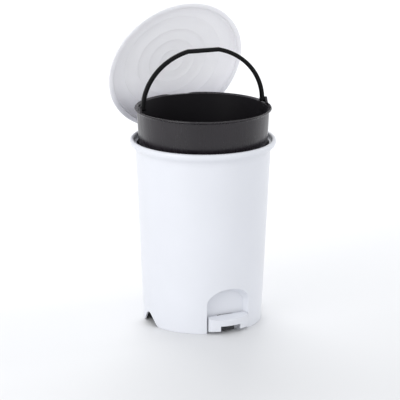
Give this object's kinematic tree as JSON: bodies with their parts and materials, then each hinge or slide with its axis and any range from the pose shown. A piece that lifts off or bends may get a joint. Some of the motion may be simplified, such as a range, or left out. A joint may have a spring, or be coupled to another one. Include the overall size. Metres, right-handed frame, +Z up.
{
  "type": "pedal bin",
  "caption": "Round tapered pedal bin with a rear-hinged translucent lid, front pedal alcove and a lift-out inner bucket with a swing bail.",
  "frame": {"origin": "on the floor, under the middle of the bin's overall length and width with the lid open", "axes": "+Z up; the pedal faces -Y and the lid hinge lies towards +Y; +X is across the bin"},
  "size_m": [0.2096, 0.239, 0.4507],
  "materials": {
    "body": "smooth white moulded plastic, softly glossy",
    "lid": "pearl grey moulded plastic, slightly translucent, satin",
    "bucket": "charcoal moulded plastic, fine satin",
    "bail": "black moulded plastic, softly glossy",
    "steel": "zinc-plated steel, fine brushed",
    "mechanism": "dark grey engineering plastic, satin"
  },
  "bodies": {
    "can": {"outer_body": "body", "inner_floor": "mechanism", "bearing_bracket_right": "mechanism", "bearing_bracket_left": "mechanism", "pedal_pivot_pin": "steel", "pivot_clip_right": "steel", "pivot_clip_left": "steel", "floor_screw_1": "steel", "floor_screw_2": "steel", "floor_screw_3": "steel", "floor_screw_4": "steel", "bearing_screw_1": "steel", "bearing_screw_2": "steel", "bearing_screw_3": "steel", "bearing_screw_4": "steel", "rear_cover": "body", "rear_cover_screw_1": "steel", "rear_cover_screw_2": "steel", "rear_cover_screw_3": "steel", "rear_cover_screw_4": "steel", "hinge_bracket": "body", "hinge_screw_1": "steel", "hinge_screw_2": "steel", "rod_guide_lower": "mechanism", "rod_guide_upper": "mechanism", "hinge_pin": "steel", "hinge_clip_right": "steel", "hinge_clip_left": "steel"},
    "pedal": {"pedal_pad": "body", "pedal_lever": "mechanism", "pad_screw_1": "steel", "pad_screw_2": "steel"},
    "rod": {"push_rod": "steel", "rod_push_nut": "steel"},
    "lid": {"lid": "lid", "lid_arm": "mechanism", "lid_arm_screw_1": "steel", "lid_arm_screw_2": "steel"},
    "bucket": {"inner_bucket": "bucket"},
    "bail": {"bail_handle": "bail"}
  },
  "joints": [
    {"name": "lid_hinge", "type": "hinge", "parent": "can", "child": "lid", "pos_m": [0, 0.09154, 0.245], "axis": [-1, 0, 0], "range_deg": [-68.7, 0]},
    {"name": "pedal_pivot", "type": "hinge", "parent": "can", "child": "pedal", "pos_m": [0, 0.01274, 0.014], "axis": [1, 0, 0], "range_deg": [-9.49, 0]},
    {"name": "push_rod_slide", "type": "slide", "parent": "can", "child": "rod", "axis": [0, 0, 1], "range_m": [-0.01164, 0]},
    {"name": "bucket_lift", "type": "slide", "parent": "can", "child": "bucket", "axis": [0, 0, 1], "range_m": [-0.0472, 0]},
    {"name": "bail_fold", "type": "hinge", "parent": "bucket", "child": "bail", "pos_m": [0, -0.01546, 0.3146], "axis": [-0.9962, 0.0872, 0], "range_deg": [-90, 0]}
  ],
  "couplings": [
    {"joint": "pedal_pivot", "follows": "lid_hinge", "ratio": 0.13786},
    {"joint": "push_rod_slide", "follows": "lid_hinge", "m_per_rad": 0.00969},
    {"joint": "bucket_lift", "follows": "lid_hinge", "m_per_rad": 0.03936},
    {"joint": "bail_fold", "follows": "lid_hinge", "ratio": 1.31}
  ]
}
